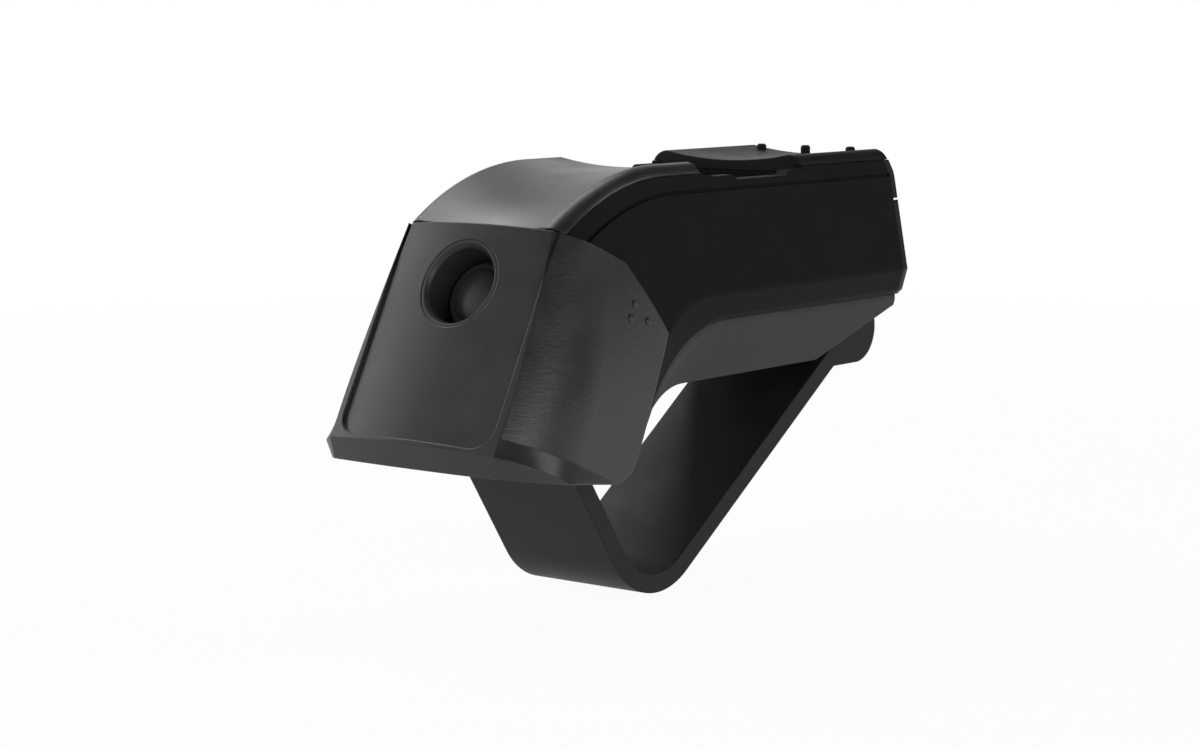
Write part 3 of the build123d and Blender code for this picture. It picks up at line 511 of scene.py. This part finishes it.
# %% Pips
pip_radius = 0.001
pip_height = 0.0006
pip_sink = 0.00005
pip_places = ((-0.0603, 0.0232), (-0.0623, 0.0199), (-0.0554, 0.0186))
outside = 0.01
outside_y = cad_box[0][1] - outside

pips = [flat_button("cheek_pip", pip_radius, pip_height)]
while len(pips) < len(pip_places):
    bpy.ops.object.duplicate()
    pips.append(bpy.context.object)
for pip, (x, z) in zip(pips, pip_places):
    _, place, normal, _ = nodes["front_cover"].ray_cast((x, outside_y, z), (0, 1, 0))
    set_on(pip, place - normal * pip_sink, normal)
for pip in pips:
    pip.select_set(True)
bpy.context.view_layer.objects.active = pips[0]
bpy.ops.object.join()
cheek_pips = bpy.context.object
cheek_pips.name = "cheek_pips"
cheek_pips.data.materials.append(finishes["cover_plastic"])
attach(cheek_pips, "cover")
print("pips:", len(pips), "first at", [round(1000 * c, 1) for c in cheek_pips.data.vertices[0].co])

# %% [markdown]
# ## Button on the lock's plug
# Deep in the sleeve the lock shows a domed face that catches one soft light. It turns with the
# plug, so it is another flat button, round about the lock's axis. The record gives that axis, and a
# ray down it finds the face that the button sits on.

# %% Button
button_radius = 0.0072
button_height = 0.0015
ray_start = 0.03
lock_joint = next(j for j in frame["record"]["behaviour"]["joints"] if j["name"] == "lock_turn")
inwards = Vector(lock_joint["axis"]).normalized()
start = Vector(lock_joint["pos_m"]) - inwards * ray_start
_, seat, _, _ = nodes["lock_plug"].ray_cast(start, inwards)
plug_button = flat_button("plug_button", button_radius, button_height)
set_on(plug_button, seat, -inwards)
plug_button.data.materials.append(finishes["plug_plastic"])
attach(plug_button, "lock")
print("button seat", [round(1000 * c, 1) for c in seat])

# %% [markdown]
# ## Screws that hold the bar plate
# Two countersunk screws sit flush in the plate under the bar, and a hex key drives them. The
# frame's screws are plain, so they are made again in the same place with their sockets. The head is
# a cone, its small end is extruded into the shank, and a six-sided cutter is taken out of the top.
# One screw is made at the origin and copied, and the frame's own box says where the two belong.

# %% One countersunk screw
shank_radius = 0.002
screw_low, screw_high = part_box("bar_plate_screws")
head_radius = (screw_high[0] - screw_low[0]) / 2
# The head tapers at 45 degrees, so it is as deep as it narrows.
head_depth = head_radius - shank_radius
shank_length = screw_high[2] - screw_low[2] - head_depth
faces_down = -0.9

bpy.ops.object.select_all(action="DESELECT")
bpy.ops.mesh.primitive_cone_add(vertices=48, radius1=shank_radius, radius2=head_radius,
                                depth=head_depth, location=(0, 0, -head_depth / 2))
screw = bpy.context.object
screw.name = "plate_screws"
bpy.ops.object.transform_apply(location=True)
for face in screw.data.polygons:
    face.select = face.normal.z < faces_down
bpy.ops.object.mode_set(mode="EDIT")
bpy.ops.mesh.select_mode(type="FACE")
bpy.ops.mesh.extrude_region_move(TRANSFORM_OT_translate={"value": (0, 0, -shank_length)})
bpy.ops.object.mode_set(mode="OBJECT")
print("screw length", round(1000 * screw.dimensions.z, 2), "mm, faces", len(screw.data.polygons))

# %% Hex socket
# The cutter stands half above the head. A hexagon's corners lie at its width over the root of 3.
socket_across = 0.0025
socket_depth = 0.0014
corner_radius = socket_across / math.sqrt(3)

bpy.ops.object.select_all(action="DESELECT")
bpy.ops.mesh.primitive_cylinder_add(vertices=6, radius=corner_radius, depth=2 * socket_depth)
cutter = bpy.context.object
bpy.ops.object.select_all(action="DESELECT")
screw.select_set(True)
bpy.context.view_layer.objects.active = screw
cut = screw.modifiers.new("hex socket", "BOOLEAN")
cut.operation = "DIFFERENCE"
cut.object = cutter
bpy.ops.object.modifier_apply(modifier=cut.name)
bpy.data.objects.remove(cutter)
bpy.ops.object.shade_smooth_by_angle(angle=math.radians(30))
print("faces with the socket", len(screw.data.polygons))

# %% Both screws in the plate
middle_x = (screw_low[0] + screw_high[0]) / 2
bpy.ops.object.duplicate()
other = bpy.context.object
for piece, y in ((screw, screw_low[1] + head_radius), (other, screw_high[1] - head_radius)):
    piece.location = (middle_x, y, screw_high[2])
screw.select_set(True)
bpy.ops.object.transform_apply(location=True)
bpy.context.view_layer.objects.active = screw
bpy.ops.object.join()
screw.data.materials.append(finishes["black_screw"])
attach(screw, "base")
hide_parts("bar_plate_screws")
print("screws at x", round(1000 * middle_x, 1), "mm")
